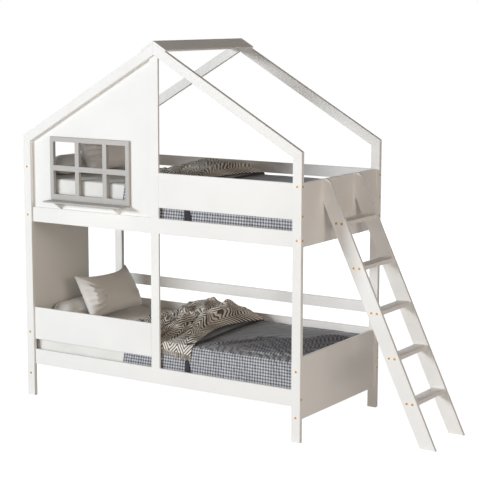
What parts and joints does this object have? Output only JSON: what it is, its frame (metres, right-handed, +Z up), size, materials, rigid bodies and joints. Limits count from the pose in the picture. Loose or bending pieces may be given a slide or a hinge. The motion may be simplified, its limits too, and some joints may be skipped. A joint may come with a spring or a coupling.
{
  "type": "bunk bed",
  "caption": "House-shaped child's bunk bed with a boarded front and lattice window, guard rails, a fixed sloping end ladder and two dressed mattresses.",
  "frame": {"origin": "on the floor under the middle of the whole part's box, ladder and window sill included", "axes": "+X along the bed from the head to the foot and the ladder, +Y from the open front to the rear, +Z up"},
  "size_m": [2.8188, 1.063, 2.3273],
  "materials": {
    "white_lacquer": "satin white lacquer on board and solid wood",
    "grey_lacquer": "satin warm grey lacquer",
    "pale_wood": "sanded, unpainted pine",
    "mattress_ticking": "matt off-white cotton sheet",
    "checked_cotton": "matt cotton, charcoal top and small grey and white check at the sides",
    "knitted_throw": "matt knit, taupe and cream zigzag with a fringe",
    "pillow_sateen": "soft sheen grey-taupe cotton with a white border",
    "bolster_cotton": "matt white cotton"
  },
  "bodies": {
    "root": {"post_front_left": "white_lacquer", "post_front_right": "white_lacquer", "post_rear_left": "white_lacquer", "post_rear_right": "white_lacquer", "rafter_front_left": "white_lacquer", "rafter_front_right": "white_lacquer", "rafter_rear_left": "white_lacquer", "rafter_rear_right": "white_lacquer", "ridge_cap_left": "white_lacquer", "ridge_cap_right": "white_lacquer", "side_rail_upper_front": "white_lacquer", "side_rail_upper_rear": "white_lacquer", "side_rail_lower_front": "white_lacquer", "side_rail_lower_rear": "white_lacquer", "guard_upper_front": "white_lacquer", "guard_lower_front": "white_lacquer", "guard_upper_rear_top": "white_lacquer", "guard_upper_rear_low": "white_lacquer", "guard_lower_rear_rail": "white_lacquer", "back_board_lower": "white_lacquer", "centre_post_upper": "white_lacquer", "centre_post_lower": "white_lacquer", "head_panel_upper": "white_lacquer", "head_panel_middle": "white_lacquer", "head_panel_lower": "white_lacquer", "foot_panel_upper": "white_lacquer", "foot_panel_lower": "white_lacquer", "wall_panel": "white_lacquer", "window_frame": "grey_lacquer", "window_sill": "grey_lacquer", "sill_bracket_left": "white_lacquer", "sill_bracket_right": "white_lacquer", "ledger_lower_front": "pale_wood", "ledger_lower_rear": "pale_wood", "ledger_upper_front": "pale_wood", "ledger_upper_rear": "pale_wood", "slat_roll_lower": "pale_wood", "slat_roll_upper": "pale_wood", "ladder_stile_near": "white_lacquer", "ladder_stile_far": "white_lacquer", "ladder_tread_1": "white_lacquer", "ladder_tread_2": "white_lacquer", "ladder_tread_3": "white_lacquer", "ladder_tread_4": "white_lacquer", "ladder_tread_5": "white_lacquer", "mattress_lower": "mattress_ticking", "mattress_upper": "mattress_ticking", "bedspread_lower": "checked_cotton", "bedspread_upper": "checked_cotton", "throw_lower": "knitted_throw", "throw_upper": "knitted_throw", "bolster_lower": "bolster_cotton", "bolster_upper": "bolster_cotton", "pillow_lower": "pillow_sateen", "pillow_upper": "pillow_sateen"}
  },
  "joints": []
}
